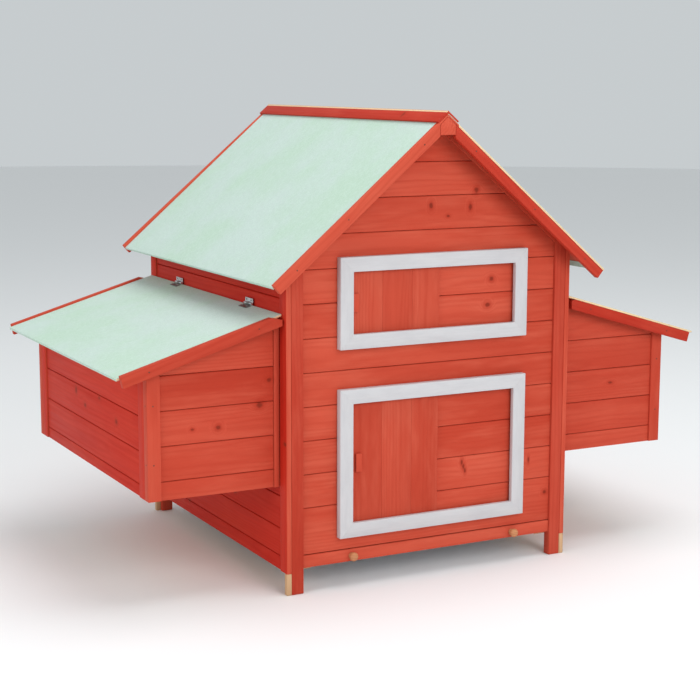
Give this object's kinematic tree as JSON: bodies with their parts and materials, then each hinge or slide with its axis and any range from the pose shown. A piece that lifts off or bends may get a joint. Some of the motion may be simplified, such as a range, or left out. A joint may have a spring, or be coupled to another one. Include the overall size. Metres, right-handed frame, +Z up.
{
  "type": "chicken coop",
  "caption": "Raised wooden hen house with a gable roof, a lidded nest box on each side, sliding door and shutter in white frames, and a pull-out droppings tray.",
  "frame": {"origin": "on the ground under the middle of the coop's overall box", "axes": "+Z up, +X to the right of someone facing the front, +Y towards the rear"},
  "size_m": [1.5212, 0.959, 1.0808],
  "materials": {
    "red_stain": "semi-transparent red stain on fir boards, satin, grain and knots showing",
    "mint_felt": "mint green roofing felt bonded to thin plywood, matt, fine mineral grain",
    "white_paint": "white painted fir, satin",
    "bare_wood": "unpainted fir",
    "zinc": "galvanised steel"
  },
  "bodies": {
    "house": {"front_left_foot": "bare_wood", "front_left_leg": "red_stain", "front_right_foot": "bare_wood", "front_right_leg": "red_stain", "front_wall": "red_stain", "left_front_barge": "red_stain", "left_front_hinge_wall_leaf": "zinc", "left_gable_rail": "red_stain", "left_nest_floor": "bare_wood", "left_nest_front": "red_stain", "left_nest_outer_wall": "red_stain", "left_nest_rear": "red_stain", "left_rear_barge": "red_stain", "left_rear_hinge_wall_leaf": "zinc", "left_ridge_cap": "red_stain", "left_roof_sheet": "mint_felt", "left_tray_runner": "bare_wood", "left_wall": "red_stain", "lower_white_frame": "white_paint", "perch": "bare_wood", "rear_left_foot": "bare_wood", "rear_left_leg": "red_stain", "rear_right_foot": "bare_wood", "rear_right_leg": "red_stain", "rear_wall": "red_stain", "ridge_beam": "red_stain", "right_front_barge": "red_stain", "right_front_hinge_wall_leaf": "zinc", "right_gable_rail": "red_stain", "right_nest_floor": "bare_wood", "right_nest_front": "red_stain", "right_nest_outer_wall": "red_stain", "right_nest_rear": "red_stain", "right_rear_barge": "red_stain", "right_rear_hinge_wall_leaf": "zinc", "right_ridge_cap": "red_stain", "right_roof_sheet": "mint_felt", "right_tray_runner": "bare_wood", "right_wall": "red_stain", "upper_white_frame": "white_paint"},
    "left_lid": {"left_front_hinge_lid_leaf": "zinc", "left_lid_front_barge": "red_stain", "left_lid_rear_barge": "red_stain", "left_lid_sheet": "mint_felt", "left_rear_hinge_lid_leaf": "zinc"},
    "right_lid": {"right_front_hinge_lid_leaf": "zinc", "right_lid_front_barge": "red_stain", "right_lid_rear_barge": "red_stain", "right_lid_sheet": "mint_felt", "right_rear_hinge_lid_leaf": "zinc"},
    "upper_shutter": {"upper_shutter": "red_stain", "upper_shutter_pull": "red_stain"},
    "lower_door": {"lower_door": "red_stain", "lower_door_pull": "red_stain"},
    "tray": {"tray_front": "red_stain", "tray_pan": "zinc", "tray_left_knob": "bare_wood", "tray_right_knob": "bare_wood"}
  },
  "joints": [
    {"name": "left_lid_hinge", "type": "hinge", "parent": "house", "child": "left_lid", "pos_m": [-0.3782, -0.0135, 0.6419], "axis": [0, 1, 0], "range_deg": [0, 55]},
    {"name": "right_lid_hinge", "type": "hinge", "parent": "house", "child": "right_lid", "pos_m": [0.3782, -0.0135, 0.6419], "axis": [0, -1, 0], "range_deg": [0, 55]},
    {"name": "upper_shutter_slide", "type": "slide", "parent": "house", "child": "upper_shutter", "axis": [1, 0, 0], "range_m": [0, 0.205]},
    {"name": "lower_door_slide", "type": "slide", "parent": "house", "child": "lower_door", "axis": [1, 0, 0], "range_m": [0, 0.205]},
    {"name": "tray_slide", "type": "slide", "parent": "house", "child": "tray", "axis": [0, -1, 0], "range_m": [0, 0.6]}
  ]
}
